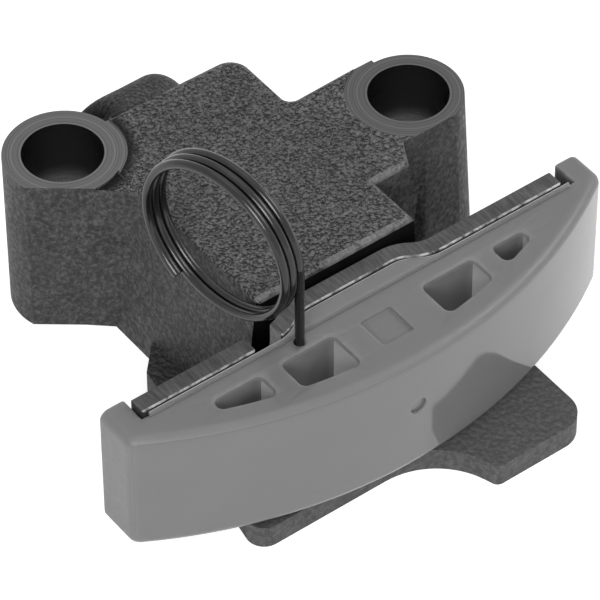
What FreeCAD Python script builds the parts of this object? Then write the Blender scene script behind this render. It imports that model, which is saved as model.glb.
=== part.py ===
import FreeCAD, Part
import math
import os
import Sketcher

# Hydraulic timing chain tensioner, in millimetres.
# The origin lies on the mounting face, under the plunger axis, in the plane of the barrel mouth.
# +Z runs along the bolt bores, +X along the running shoe and -Y towards the chain.

SIZES = {
    # block around the barrel
    "block_half_width": 9.95,
    "block_depth": 30.4,
    "block_height": 20.2,
    "block_left_draft": 2.2,
    "block_right_draft": 1.2,
    "block_corner_round": 2.3,
    "block_edge_round": 0.7,
    # bolt bosses, their flats and their machined faces
    "boss_height": 20.0,
    "bolt_bore_radius": 4.3,
    "left_boss_x": -12.85,
    "left_boss_y": 29.26,
    "left_boss_radius": 6.3,
    "left_flat_distance": 5.2,
    "left_flat_heading": 231.9,
    "right_boss_x": 20.86,
    "right_boss_y": 14.84,
    "right_boss_radius": 5.85,
    "right_boss_draft": 3.0,
    "right_flat_distance": 5.5,
    "right_flat_heading": 270.0,
    "spot_face_radius": 6.7,
    # webs that tie the bosses to the block
    "right_web_front": 6.46,
    "right_web_rear": 21.12,
    "right_web_corner_x": 14.46,
    "right_web_step": 2.8,
    "left_web_height": 17.8,
    "left_web_front": 19.9,
    "left_web_bulge": 0.15,
    "left_web_end_x": 3.9,
    "left_web_round": 3.4,
    "left_web_crown": 2.6,
    "web_root_round": 1.2,
    # foot flange under the shoe
    "foot_thickness": 2.8,
    "foot_left_x": -19.3,
    "foot_front_y": -12.45,
    "foot_flare_x": -14.95,
    "foot_flare_y": 12.4,
    "foot_rear_y": 15.4,
    "foot_right_x": 17.5,
    "foot_lobe_y": -19.85,
    "foot_lobe_x": 5.6,
    "foot_neck_x": 3.2,
    "foot_corner_round": 2.0,
    "foot_lobe_round": 3.0,
    "foot_lobe_inner_round": 0.9,
    "foot_neck_round": 8.6,
    # barrel and oil ways
    "axis_height": 10.5,
    "bore_radius": 7.0,
    "bore_depth": 24.0,
    "oil_chamber_radius": 3.2,
    "oil_chamber_depth": 4.0,
    "oil_feed_radius": 1.5,
    # stop ring and its groove
    "stop_ring_y": 3.0,
    "stop_ring_wire_radius": 0.5,
    "stop_ring_clearance": 0.12,
    "stop_ring_gap_angle": 24.0,
    # plunger
    "travel": 10.0,
    "plunger_clearance": 0.03,
    "plunger_length": 19.35,
    "plunger_chamfer": 0.6,
    "plunger_cavity_radius": 5.0,
    "plunger_nose_wall": 3.85,
    "relief_margin": 0.8,
    "spigot_radius": 2.5,
    "spigot_clearance": 0.02,
    "rivet_radius": 3.8,
    "rivet_thickness": 1.0,
    "vent_hole_radius": 0.6,
    # check valve
    "seat_thickness": 3.0,
    "seat_clearance": 0.02,
    "seat_hole_radius": 1.5,
    "ball_radius": 2.2,
    "ball_clearance": 0.02,
    "cage_radius": 3.3,
    "cage_wall": 0.5,
    "cage_height": 6.2,
    "cage_flange_radius": 6.4,
    "cage_hole_radius": 0.9,
    "check_spring_radius": 1.2,
    "check_wire_radius": 0.2,
    "check_turns": 3.0,
    "check_clearance": 0.03,
    # vent disc and plunger spring
    "disc_thickness": 1.0,
    "disc_clearance": 0.05,
    "disc_groove_radius": 2.6,
    "disc_groove_width": 0.6,
    "disc_groove_depth": 0.4,
    "spring_wire_radius": 0.55,
    "spring_side_clearance": 0.15,
    "spring_end_clearance": 0.02,
    "spring_turns": 6.0,
    # steel plate behind the shoe
    "plate_length": 52.6,
    "plate_thickness": 2.0,
    "plate_bottom": 4.0,
    "plate_top": 19.2,
    "plate_rear_y": -2.5,
    "plate_shift": -0.75,
    "bow_rise": 1.65,
    "bow_half_width": 6.5,
    "bow_run": 2.5,
    "bow_shift": -0.3,
    "bow_bend_radius": 4.6,
    "notch_x": -11.7,
    "notch_width": 3.2,
    "notch_depth": 4.0,
    "notch_round": 1.5,
    # nylon shoe
    "shoe_half_length": 30.15,
    "shoe_bottom": 3.2,
    "shoe_top": 18.5,
    "face_radius": 56.0,
    "face_y": -14.75,
    "face_shift": -0.9,
    "face_edge_round": 1.1,
    "shoe_end_round": 1.5,
    "hook_thickness": 3.0,
    "hook_rear_y": -1.4,
    "hook_lip": 2.4,
    "lip_top_setback": 3.0,
    "lip_bottom_setback": 2.0,
    "lip_clearance": 0.1,
    "pocket_wall": 3.0,
    "pocket_rear_wall": 2.4,
    "pocket_depth": 12.0,
    "inner_pocket_x": 5.6,
    "inner_pocket_end": 12.0,
    "outer_pocket_x": 14.6,
    "pocket_round": 0.7,
    "pad_width": 3.9,
    "pad_length": 4.0,
    "pad_x": -0.55,
    "pad_y": -9.15,
    "pad_depth": 0.35,
    "gate_x": -0.8,
    "gate_height": 11.8,
    "gate_radius": 1.0,
    "gate_depth": 0.35,
    # lock pin
    "pin_x": -8.75,
    "pin_y": -5.65,
    "pin_wire_radius": 0.5,
    "pin_clearance": 0.15,
    "pin_bottom": 1.0,
    "pin_hole_radius": 1.2,
    "pin_hole_offset": 0.5,
    "coil_radius": 9.0,
    "coil_height": 28.2,
    "coil_pitch": 1.04,
    "coil_turns": 2.66,
    "coil_heading": -79.0,
}

doc = FreeCAD.newDocument("tensioner")
sheet = doc.addObject("Spreadsheet::Sheet", "Dim")
for row, (alias, value) in enumerate(SIZES.items(), start=1):
    sheet.set("A%d" % row, alias)
    sheet.set("B%d" % row, str(value))
    sheet.setAlias("B%d" % row, alias)
doc.recompute()

Z_AXIS = FreeCAD.Vector(0, 0, 1)


def size(alias):
    """Value of one named size."""
    return float(sheet.get(alias))


def tie(obj, **expressions):
    """Ties properties of an object to expressions of named sizes."""
    for name, expression in expressions.items():
        obj.setExpression(name.replace("__", "."), dim(expression))
    return obj


def dim(expression):
    """Expression in which each named size is read from the sheet."""
    words = []
    word = ""
    for letter in expression + " ":
        if letter.isalnum() or letter == "_":
            word += letter
            continue
        words.append("Dim." + word if word in SIZES else word)
        words.append(letter)
        word = ""
    return "".join(words).strip()


def new_body(label):
    """Empty body with its own label."""
    body = doc.addObject("PartDesign::Body", label)
    body.Label = label
    return body


def plane_of(body, role):
    """Origin plane of a body, found by its role."""
    for feature in body.Origin.OriginFeatures:
        if feature.Role == role:
            return feature
    raise ValueError(role)


def sketch_on(body, name, role="XY_Plane", lift="0"):
    """Empty sketch on an origin plane of its body, lifted along the plane's normal."""
    sketch = body.newObject("Sketcher::SketchObject", name)
    sketch.AttachmentSupport = [(plane_of(body, role), "")]
    sketch.MapMode = "FlatFace"
    sketch.setExpression("AttachmentOffset.Base.z", dim(lift))
    return sketch


def hold(sketch, kind, first, second, expression):
    """Driving constraint on a point or a curve, tied to an expression."""
    if kind == "Radius":
        index = sketch.addConstraint(Sketcher.Constraint("Radius", first, sketch.Geometry[first].Radius))
    else:
        point = sketch.getPoint(first, second)
        start = point.x if kind == "DistanceX" else point.y
        index = sketch.addConstraint(Sketcher.Constraint(kind, -1, 1, first, second, start))
    sketch.setExpression("Constraints[%d]" % index, dim(expression))


def outline(sketch, points):
    """Closed outline of straight edges, each corner held at two expressions."""
    count = len(points)
    spots = []
    for i in range(count):
        turn = 2 * math.pi * i / count
        spots.append(FreeCAD.Vector(20 * math.cos(turn), 20 * math.sin(turn), 0))
    first = sketch.GeometryCount
    for i in range(count):
        sketch.addGeometry(Part.LineSegment(spots[i], spots[(i + 1) % count]), False)
    for i in range(count):
        follower = first + (i + 1) % count
        sketch.addConstraint(Sketcher.Constraint("Coincident", first + i, 2, follower, 1))
    for i, (across, up) in enumerate(points):
        hold(sketch, "DistanceX", first + i, 1, across)
        hold(sketch, "DistanceY", first + i, 1, up)
    return sketch


def circle(sketch, across, up, radius):
    """Circle whose centre and radius are held by expressions."""
    geo = sketch.addGeometry(Part.Circle(FreeCAD.Vector(1, 1, 0), Z_AXIS, 2), False)
    hold(sketch, "DistanceX", geo, 3, across)
    hold(sketch, "DistanceY", geo, 3, up)
    hold(sketch, "Radius", geo, 0, radius)
    return sketch


def feature(body, kind, name, sketch, **expressions):
    """Pad, pocket, revolution or groove of a sketch with its sizes tied."""
    made = body.newObject("PartDesign::" + kind, name)
    made.Profile = sketch
    tie(made, **expressions)
    sketch.Visibility = False
    return made


def turned(body, kind, name, sketch):
    """Revolution or groove about the second axis of the sketch."""
    made = body.newObject("PartDesign::" + kind, name)
    made.Profile = sketch
    made.ReferenceAxis = (sketch, ["V_Axis"])
    made.Angle = 360
    return made


def through_all(made):
    """Lets a pocket run through the whole body."""
    made.Type = "ThroughAll"
    return made


def picked(made, test):
    """Names of the edges of a feature that pass a test."""
    doc.recompute()
    names = []
    for index, edge in enumerate(made.Shape.Edges, start=1):
        if test(edge):
            names.append("Edge%d" % index)
    return names


def rounded(body, name, made, test, radius):
    """Fillet of the edges that pass a test."""
    names = picked(made, test)
    if not names:
        raise ValueError("no edge for " + name)
    fillet = body.newObject("PartDesign::Fillet", name)
    fillet.Base = (made, names)
    tie(fillet, Radius=radius)
    return fillet


def upright_at(across, up):
    """Test for an edge along Z that stands near a point of the plan."""
    def test(edge):
        box = edge.BoundBox
        if box.ZLength < 0.5 or box.XLength > 3 or box.YLength > 3:
            return False
        middle = edge.valueAt((edge.FirstParameter + edge.LastParameter) / 2)
        return math.hypot(middle.x - across, middle.y - up) < 0.9
    return test


def level_along(height, across=None, up=None):
    """Test for a straight level edge at a height, along one line of the plan."""
    def test(edge):
        box = edge.BoundBox
        if box.ZLength > 0.01 or abs(box.ZMin - height) > 0.01:
            return False
        if across is not None:
            return box.XLength < 0.01 and abs(box.XMin - across) < 0.01 and box.YLength > 1
        return box.YLength < 0.01 and abs(box.YMin - up) < 0.01 and box.XLength > 1
    return test


def boss_outline(sketch, centre_x, centre_y, radius, flat, heading):
    """Circle of a boss with one flat, square to a heading."""
    half = "acos(" + flat + " / " + radius + ")"
    ends = []
    for sign in ("+", "-"):
        turn = "(" + heading + " * 1 deg " + sign + " " + half + ")"
        across = centre_x + " + " + radius + " * cos(" + turn + ")"
        up = centre_y + " + " + radius + " * sin(" + turn + ")"
        ends.append((across, up))
    centre = FreeCAD.Vector(size(centre_x), size(centre_y), 0)
    reach = size(radius)
    middle = math.radians(size(heading))
    spread = math.acos(size(flat) / reach)
    arc = Part.ArcOfCircle(Part.Circle(centre, Z_AXIS, reach), middle + spread, middle - spread + 2 * math.pi)
    start = arc.value(arc.FirstParameter)
    end = arc.value(arc.LastParameter)
    sketch.addGeometry(arc, False)
    sketch.addGeometry(Part.LineSegment(end, start), False)
    sketch.addConstraint(Sketcher.Constraint("Coincident", 0, 2, 1, 1))
    sketch.addConstraint(Sketcher.Constraint("Coincident", 1, 2, 0, 1))
    hold(sketch, "DistanceX", 0, 3, centre_x)
    hold(sketch, "DistanceY", 0, 3, centre_y)
    hold(sketch, "Radius", 0, 0, radius)
    hold(sketch, "DistanceX", 1, 2, ends[0][0])
    hold(sketch, "DistanceX", 1, 1, ends[1][0])
    return sketch


def box_outline(x_min, x_max, y_min, y_max):
    """Four corners of a rectangle."""
    return [(x_min, y_min), (x_max, y_min), (x_max, y_max), (x_min, y_max)]


# Housing: iron casting with the barrel, the foot flange and two bolt bosses.

housing = new_body("housing")

block_sketch = outline(sketch_on(housing, "BlockSection", role="XZ_Plane"), [
    ("-block_half_width - block_left_draft", "0"),
    ("block_half_width + block_right_draft", "0"),
    ("block_half_width", "block_height"),
    ("-block_half_width", "block_height")])
block = feature(housing, "Pad", "Block", block_sketch, Length="block_depth")
block.Reversed = True
block = rounded(housing, "BlockCorner", block, upright_at(
    size("block_half_width") + size("block_right_draft") / 2, size("block_depth")), "block_corner_round")
block = rounded(housing, "BlockEdge", block, level_along(
    size("block_height"), across=-size("block_half_width")), "block_edge_round")

foot_sketch = outline(sketch_on(housing, "FootPlan"), [
    ("foot_left_x", "foot_front_y"),
    ("foot_neck_x", "foot_front_y"),
    ("foot_lobe_x", "foot_lobe_y"),
    ("foot_right_x", "foot_lobe_y"),
    ("foot_right_x", "right_boss_y"),
    ("0", "right_boss_y"),
    ("0", "foot_rear_y"),
    ("-block_half_width - block_left_draft", "foot_rear_y"),
    ("foot_flare_x", "foot_flare_y")])
foot = feature(housing, "Pad", "Foot", foot_sketch, Length="foot_thickness")
foot = rounded(housing, "FootCorner", foot, upright_at(
    size("foot_left_x"), size("foot_front_y")), "foot_corner_round")
foot = rounded(housing, "FootNeck", foot, upright_at(
    size("foot_neck_x"), size("foot_front_y")), "foot_neck_round")
foot = rounded(housing, "FootLobeInner", foot, upright_at(
    size("foot_lobe_x"), size("foot_lobe_y")), "foot_lobe_inner_round")
foot = rounded(housing, "FootLobe", foot, upright_at(
    size("foot_right_x"), size("foot_lobe_y")), "foot_lobe_round")

left_web_sketch = outline(sketch_on(housing, "LeftWebPlan"), [
    ("left_boss_x", "left_boss_y - left_boss_radius"),
    ("-block_half_width", "left_web_front"),
    ("left_web_end_x", "left_web_front"),
    ("left_web_end_x", "left_boss_y + left_boss_radius + left_web_bulge"),
    ("left_boss_x", "left_boss_y + left_boss_radius + left_web_bulge")])
left_web = feature(housing, "Pad", "LeftWeb", left_web_sketch, Length="left_web_height")
web_rear = size("left_boss_y") + size("left_boss_radius") + size("left_web_bulge")
left_web = rounded(housing, "LeftWebEnd", left_web, upright_at(
    size("left_web_end_x"), web_rear), "left_web_round")
left_web = rounded(housing, "LeftWebCrown", left_web, level_along(
    size("left_web_height"), up=web_rear), "left_web_crown")

right_web_sketch = outline(sketch_on(housing, "RightWebPlan"), [
    ("0", "right_web_front"),
    ("right_web_corner_x", "right_web_front"),
    ("right_web_corner_x + right_web_step / 2", "right_web_front + right_web_step"),
    ("right_boss_x", "right_web_front + right_web_step"),
    ("right_boss_x", "right_web_rear"),
    ("0", "right_web_rear")])
right_web = feature(housing, "Pad", "RightWeb", right_web_sketch, Length="block_height")
right_web = rounded(housing, "RightWebRoot", right_web, upright_at(
    size("block_half_width") + size("block_right_draft") / 2, size("right_web_rear")), "web_root_round")

left_boss_sketch = boss_outline(
    sketch_on(housing, "LeftBossPlan", lift="boss_height"),
    "left_boss_x", "left_boss_y", "left_boss_radius", "left_flat_distance", "left_flat_heading")
left_boss = feature(housing, "Pad", "LeftBoss", left_boss_sketch, Length="boss_height")
left_boss.Reversed = True
right_boss_sketch = boss_outline(
    sketch_on(housing, "RightBossPlan", lift="boss_height"),
    "right_boss_x", "right_boss_y", "right_boss_radius", "right_flat_distance", "right_flat_heading")
right_boss = feature(
    housing, "Pad", "RightBoss", right_boss_sketch, Length="boss_height", TaperAngle="right_boss_draft")
right_boss.Reversed = True

for side in ("left", "right"):
    spot_sketch = sketch_on(housing, side.capitalize() + "SpotPlan", lift="block_height")
    circle(spot_sketch, side + "_boss_x", side + "_boss_y", "spot_face_radius")
    feature(housing, "Pocket", side.capitalize() + "SpotFace", spot_sketch, Length="block_height - boss_height")
    bore_sketch = sketch_on(housing, side.capitalize() + "BorePlan", lift="block_height")
    circle(bore_sketch, side + "_boss_x", side + "_boss_y", "bolt_bore_radius")
    through_all(feature(housing, "Pocket", side.capitalize() + "Bore", bore_sketch))

barrel_sketch = outline(sketch_on(housing, "BarrelSection", lift="axis_height"), [
    ("0", "-1"),
    ("bore_radius", "-1"),
    ("bore_radius", "bore_depth"),
    ("oil_chamber_radius", "bore_depth"),
    ("oil_chamber_radius", "bore_depth + oil_chamber_depth"),
    ("0", "bore_depth + oil_chamber_depth")])
turned(housing, "Groove", "Barrel", barrel_sketch)
ring_groove_sketch = outline(sketch_on(housing, "RingGrooveSection", lift="axis_height"), box_outline(
    "bore_radius / 2", "bore_radius + stop_ring_wire_radius + stop_ring_clearance",
    "stop_ring_y - stop_ring_wire_radius - stop_ring_clearance",
    "stop_ring_y + stop_ring_wire_radius + stop_ring_clearance"))
turned(housing, "Groove", "RingGroove", ring_groove_sketch)
feed_sketch = circle(
    sketch_on(housing, "OilFeedPlan", lift="axis_height"), "0", "bore_depth + oil_chamber_depth / 2", "oil_feed_radius")
through_feed = feature(housing, "Pocket", "OilFeed", feed_sketch, Length="axis_height")
pin_hole_sketch = circle(
    sketch_on(housing, "PinHolePlan", lift="foot_thickness"), "pin_x", "pin_y - pin_hole_offset", "pin_hole_radius")
feature(housing, "Pocket", "PinHole", pin_hole_sketch, Length="foot_thickness")

# Plate: bent steel strip behind the shoe, with a shallow bow for the plunger's rivet.

shoe_plate = new_body("shoe_plate")
BEND = "(plate_thickness / 2 * tan(atan(bow_rise / bow_run) / 2))"
FRONT = "plate_rear_y - plate_thickness"
LEFT_END = "plate_shift - plate_length / 2"
RIGHT_END = "plate_shift + plate_length / 2"
plate_sketch = outline(sketch_on(shoe_plate, "PlatePlan", lift="plate_bottom"), [
    (LEFT_END, FRONT),
    ("bow_shift - bow_half_width - bow_run + " + BEND, FRONT),
    ("bow_shift - bow_half_width + " + BEND, FRONT + " + bow_rise"),
    ("bow_shift + bow_half_width - " + BEND, FRONT + " + bow_rise"),
    ("bow_shift + bow_half_width + bow_run - " + BEND, FRONT),
    (RIGHT_END, FRONT),
    (RIGHT_END, "plate_rear_y"),
    ("bow_shift + bow_half_width + bow_run + " + BEND, "plate_rear_y"),
    ("bow_shift + bow_half_width + " + BEND, "plate_rear_y + bow_rise"),
    ("bow_shift - bow_half_width - " + BEND, "plate_rear_y + bow_rise"),
    ("bow_shift - bow_half_width - bow_run - " + BEND, "plate_rear_y"),
    (LEFT_END, "plate_rear_y")])
plate = feature(shoe_plate, "Pad", "Strip", plate_sketch, Length="plate_top - plate_bottom")
bend = size("plate_thickness") / 2 * math.tan(math.atan(size("bow_rise") / size("bow_run")) / 2)
front_y = size("plate_rear_y") - size("plate_thickness")
inner_radius = "bow_bend_radius - plate_thickness / 2"
outer_radius = "bow_bend_radius + plate_thickness / 2"


def bow_corner(reach, depth):
    """Test for the two upright bend lines at one reach from the middle of the bow."""
    middle = size("bow_shift")
    left = upright_at(middle - reach, depth)
    right = upright_at(middle + reach, depth)
    return lambda edge: left(edge) or right(edge)


crest = size("bow_half_width")
root = crest + size("bow_run")
rise = size("bow_rise")
plate = rounded(shoe_plate, "BowCrestRear", plate, bow_corner(
    crest + bend, size("plate_rear_y") + rise), outer_radius)
plate = rounded(shoe_plate, "BowRootRear", plate, bow_corner(
    root + bend, size("plate_rear_y")), inner_radius)
plate = rounded(shoe_plate, "BowCrestFront", plate, bow_corner(
    crest - bend, front_y + rise), inner_radius)
plate = rounded(shoe_plate, "BowRootFront", plate, bow_corner(
    root - bend, front_y), outer_radius)
notch_sketch = outline(sketch_on(shoe_plate, "NotchSection", role="XZ_Plane"), box_outline(
    "notch_x - notch_width / 2", "notch_x + notch_width / 2", "plate_top - notch_depth", "plate_top + 1"))
plate = through_all(feature(shoe_plate, "Pocket", "Notch", notch_sketch))
plate.Midplane = True


def notch_floor(edge):
    """Test for the two level edges along Y at the floor of the notch."""
    box = edge.BoundBox
    level = box.ZLength < 0.01 and abs(box.ZMin - size("plate_top") + size("notch_depth")) < 0.01
    reach = abs(abs(box.XMin - size("notch_x")) - size("notch_width") / 2)
    return level and box.XLength < 0.01 and reach < 0.01


plate = rounded(shoe_plate, "NotchFloor", plate, notch_floor, "notch_round")
spigot_hole_sketch = circle(
    sketch_on(shoe_plate, "SpigotHoleSection", role="XZ_Plane"),
    "0", "axis_height", "spigot_radius + spigot_clearance")
spigot_hole = through_all(feature(shoe_plate, "Pocket", "SpigotHole", spigot_hole_sketch))
spigot_hole.Midplane = True

# Shoe: moulded nylon rail with a curved running face, blind pockets and a hook at each end.

shoe = new_body("shoe")
shoe_sketch = sketch_on(shoe, "ShoePlan", lift="shoe_bottom")
SHOE_REAR = "plate_rear_y - plate_thickness"
HOOK_X = "shoe_half_length - hook_thickness"
corner = [
    FreeCAD.Vector(30, -6, 0), FreeCAD.Vector(30, -1, 0), FreeCAD.Vector(27, -1, 0), FreeCAD.Vector(27, -4, 0),
    FreeCAD.Vector(-27, -4, 0), FreeCAD.Vector(-27, -1, 0), FreeCAD.Vector(-30, -1, 0), FreeCAD.Vector(-30, -6, 0)]
for i in range(7):
    shoe_sketch.addGeometry(Part.LineSegment(corner[i], corner[i + 1]), False)
shoe_sketch.addGeometry(Part.Arc(corner[7], FreeCAD.Vector(-1, -15, 0), corner[0]), False)
for i in range(6):
    shoe_sketch.addConstraint(Sketcher.Constraint("Coincident", i, 2, i + 1, 1))
shoe_sketch.addConstraint(Sketcher.Constraint("Coincident", 6, 2, 7, 1))
shoe_sketch.addConstraint(Sketcher.Constraint("Coincident", 7, 2, 0, 1))
places = [
    ("shoe_half_length", "hook_rear_y"), (HOOK_X, "hook_rear_y"), (HOOK_X, SHOE_REAR),
    ("-(" + HOOK_X + ")", SHOE_REAR), ("-(" + HOOK_X + ")", "hook_rear_y"), ("-shoe_half_length", "hook_rear_y")]
for i, (across, up) in enumerate(places, start=1):
    hold(shoe_sketch, "DistanceX", i, 1, across)
    hold(shoe_sketch, "DistanceY", i, 1, up)
hold(shoe_sketch, "DistanceX", 0, 1, "shoe_half_length")
hold(shoe_sketch, "DistanceX", 6, 2, "-shoe_half_length")
hold(shoe_sketch, "DistanceX", 7, 3, "face_shift")
hold(shoe_sketch, "DistanceY", 7, 3, "face_y + face_radius")
hold(shoe_sketch, "Radius", 7, 0, "face_radius")
rail = feature(shoe, "Pad", "Rail", shoe_sketch, Length="shoe_top - shoe_bottom")


def face_height(across):
    """Y of the running face at a place along the shoe."""
    reach = size("face_radius")
    return size("face_y") + reach - math.sqrt(reach ** 2 - (across - size("face_shift")) ** 2)


def shoe_end(edge):
    """Test for the two upright edges between the running face and the ends."""
    half = size("shoe_half_length")
    return upright_at(half, face_height(half))(edge) or upright_at(-half, face_height(-half))(edge)


rail = rounded(shoe, "RailEnds", rail, shoe_end, "shoe_end_round")


lip_sketch = sketch_on(shoe, "LipPlan", lift="shoe_bottom + lip_bottom_setback")
LIP_X = "shoe_half_length - hook_thickness - hook_lip"
outline(lip_sketch, box_outline(LIP_X, "shoe_half_length - hook_thickness / 2", "plate_rear_y + lip_clearance",
                                "hook_rear_y"))
outline(lip_sketch, box_outline("-shoe_half_length + hook_thickness / 2", "-(" + LIP_X + ")",
                                "plate_rear_y + lip_clearance", "hook_rear_y"))
feature(shoe, "Pad", "Lips", lip_sketch,
        Length="shoe_top - shoe_bottom - lip_top_setback - lip_bottom_setback")


def pocket_outline(sketch, inner, outer, sign):
    """Pocket between the rear wall and a curved front wall, closed at a point where no outer end is given."""
    rear = "plate_rear_y - plate_thickness - pocket_rear_wall"
    reach = size("face_radius") - size("pocket_wall")
    centre = FreeCAD.Vector(size("face_shift"), size("face_y") + size("face_radius"), 0)
    rear_y = size("plate_rear_y") - size("plate_thickness") - size("pocket_rear_wall")
    inner_x = sign * size(inner)
    inner_front = centre.y - math.sqrt(reach ** 2 - (inner_x - centre.x) ** 2)
    tip = math.sqrt(reach ** 2 - (rear_y - centre.y) ** 2)
    outer_x = sign * size(outer) if outer else centre.x + sign * tip
    outer_front = centre.y - math.sqrt(reach ** 2 - (outer_x - centre.x) ** 2)
    marks = [
        FreeCAD.Vector(inner_x, rear_y, 0), FreeCAD.Vector(inner_x, inner_front, 0),
        FreeCAD.Vector(outer_x, outer_front, 0), FreeCAD.Vector(outer_x, rear_y, 0)]
    angles = sorted(math.atan2(mark.y - centre.y, mark.x - centre.x) for mark in marks[1:3])
    curve = Part.ArcOfCircle(Part.Circle(centre, Z_AXIS, reach), angles[0], angles[1])
    side = sketch.addGeometry(Part.LineSegment(marks[0], marks[1]), False)
    front = sketch.addGeometry(curve, False)
    arc = sketch.Geometry[front]
    first = 1 if arc.StartPoint.distanceToPoint(marks[1]) < 0.001 else 2
    sketch.addConstraint(Sketcher.Constraint("Coincident", side, 2, front, first))
    if outer:
        end = sketch.addGeometry(Part.LineSegment(marks[2], marks[3]), False)
        back = sketch.addGeometry(Part.LineSegment(marks[3], marks[0]), False)
        sketch.addConstraint(Sketcher.Constraint("Coincident", front, 3 - first, end, 1))
        sketch.addConstraint(Sketcher.Constraint("Coincident", end, 2, back, 1))
        sketch.addConstraint(Sketcher.Constraint("Vertical", end))
        hold(sketch, "DistanceX", end, 2, ("" if sign > 0 else "-") + outer)
    else:
        back = sketch.addGeometry(Part.LineSegment(marks[2], marks[0]), False)
        sketch.addConstraint(Sketcher.Constraint("Coincident", front, 3 - first, back, 1))
    sketch.addConstraint(Sketcher.Constraint("Coincident", back, 2, side, 1))
    sketch.addConstraint(Sketcher.Constraint("Vertical", side))
    sketch.addConstraint(Sketcher.Constraint("Horizontal", back))
    hold(sketch, "DistanceX", side, 1, ("" if sign > 0 else "-") + inner)
    hold(sketch, "DistanceY", side, 1, rear)
    hold(sketch, "DistanceX", front, 3, "face_shift")
    hold(sketch, "DistanceY", front, 3, "face_y + face_radius")
    hold(sketch, "Radius", front, 0, "face_radius - pocket_wall")
    return marks


def pocket_corner(marks):
    """Test for the upright corners of one pocket."""
    floor = size("shoe_top") - size("pocket_depth")
    tests = [upright_at(mark.x, mark.y) for mark in marks]

    def test(edge):
        return edge.BoundBox.ZMin > floor - 0.01 and any(check(edge) for check in tests)
    return test


for sign, side in ((-1, "Left"), (1, "Right")):
    for inner, outer, place in (
            ("inner_pocket_x", "inner_pocket_end", "Inner"), ("outer_pocket_x", None, "Outer")):
        name = side + place
        pocket_sketch = sketch_on(shoe, name + "Plan", lift="shoe_top")
        marks = pocket_outline(pocket_sketch, inner, outer, sign)
        hollow = feature(shoe, "Pocket", name + "Pocket", pocket_sketch, Length="pocket_depth")
        rounded(shoe, name + "Corners", hollow, pocket_corner(marks), "pocket_round")

pad_sketch = sketch_on(shoe, "PadPlan", lift="shoe_top")
outline(pad_sketch, box_outline(
    "pad_x - pad_width / 2", "pad_x + pad_width / 2", "pad_y - pad_length / 2", "pad_y + pad_length / 2"))
feature(shoe, "Pocket", "PadRecess", pad_sketch, Length="pad_depth")
gate_sketch = circle(
    sketch_on(shoe, "GateSection", role="XZ_Plane", lift="-face_y - gate_depth"), "gate_x", "gate_height", "gate_radius")
gate = feature(shoe, "Pocket", "Gate", gate_sketch, Length="gate_depth + 1")
gate.Reversed = True
guide_sketch = circle(
    sketch_on(shoe, "PinGuidePlan", lift="shoe_top"), "pin_x", "pin_y", "pin_wire_radius + pin_clearance")
guide = through_all(feature(shoe, "Pocket", "PinGuide", guide_sketch))


def face_rim(edge):
    """Test for the long curved edges along the running face."""
    box = edge.BoundBox
    return box.XLength > size("shoe_half_length") and box.ZLength < 0.01 and box.YLength > 1


rounded(shoe, "FaceRims", guide, face_rim, "face_edge_round")
# Plunger: hollow steel piston, riveted through the plate, with a long relief for the stop ring.

SHOULDER = "plate_rear_y + bow_rise"
PLUNGER_REAR = "plate_rear_y + bow_rise + plunger_length"
CAVITY_FRONT = "plate_rear_y + bow_rise + plunger_nose_wall"
PLUNGER_RADIUS = "bore_radius - plunger_clearance"
RELIEF_RADIUS = "bore_radius - stop_ring_wire_radius - stop_ring_clearance"
plunger = new_body("plunger")
plunger_sketch = outline(sketch_on(plunger, "PlungerSection", lift="axis_height"), [
    ("vent_hole_radius", SHOULDER + " - plate_thickness - rivet_thickness"),
    ("rivet_radius", SHOULDER + " - plate_thickness - rivet_thickness"),
    ("rivet_radius", SHOULDER + " - plate_thickness"),
    ("spigot_radius", SHOULDER + " - plate_thickness"),
    ("spigot_radius", SHOULDER),
    (PLUNGER_RADIUS + " - plunger_chamfer", SHOULDER),
    (PLUNGER_RADIUS, SHOULDER + " + plunger_chamfer"),
    (PLUNGER_RADIUS, "stop_ring_y - stop_ring_wire_radius - relief_margin"),
    (RELIEF_RADIUS, "stop_ring_y - stop_ring_wire_radius - relief_margin"),
    (RELIEF_RADIUS, "stop_ring_y + stop_ring_wire_radius + relief_margin + travel"),
    (PLUNGER_RADIUS, "stop_ring_y + stop_ring_wire_radius + relief_margin + travel"),
    (PLUNGER_RADIUS, PLUNGER_REAR + " - plunger_chamfer"),
    (PLUNGER_RADIUS + " - plunger_chamfer", PLUNGER_REAR),
    ("plunger_cavity_radius", PLUNGER_REAR),
    ("plunger_cavity_radius", CAVITY_FRONT),
    ("vent_hole_radius", CAVITY_FRONT)])
turned(plunger, "Revolution", "Piston", plunger_sketch)

# Stop ring: open wire ring in the mouth of the barrel.

stop_ring = new_body("stop_ring")
stop_ring_sketch = circle(
    sketch_on(stop_ring, "WireSection", lift="axis_height"), "bore_radius", "stop_ring_y", "stop_ring_wire_radius")
ring = turned(stop_ring, "Revolution", "Ring", stop_ring_sketch)
tie(ring, Angle="360 - stop_ring_gap_angle")

# Check valve: seat, ball, spring and cage at the foot of the barrel.

SEAT_FRONT = "bore_depth - seat_thickness"
BALL_Y = SEAT_FRONT + " - sqrt(ball_radius ^ 2 - seat_hole_radius ^ 2) - ball_clearance"
check_seat = new_body("check_seat")
seat_sketch = outline(sketch_on(check_seat, "SeatSection", lift="axis_height"), box_outline(
    "seat_hole_radius", "bore_radius - seat_clearance", SEAT_FRONT, "bore_depth"))
turned(check_seat, "Revolution", "Seat", seat_sketch)

check_ball = doc.addObject("Part::Sphere", "check_ball")
check_ball.Label = "check_ball"
tie(check_ball, Radius="ball_radius")
tie(check_ball, Placement__Base__y=BALL_Y, Placement__Base__z="axis_height")

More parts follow.
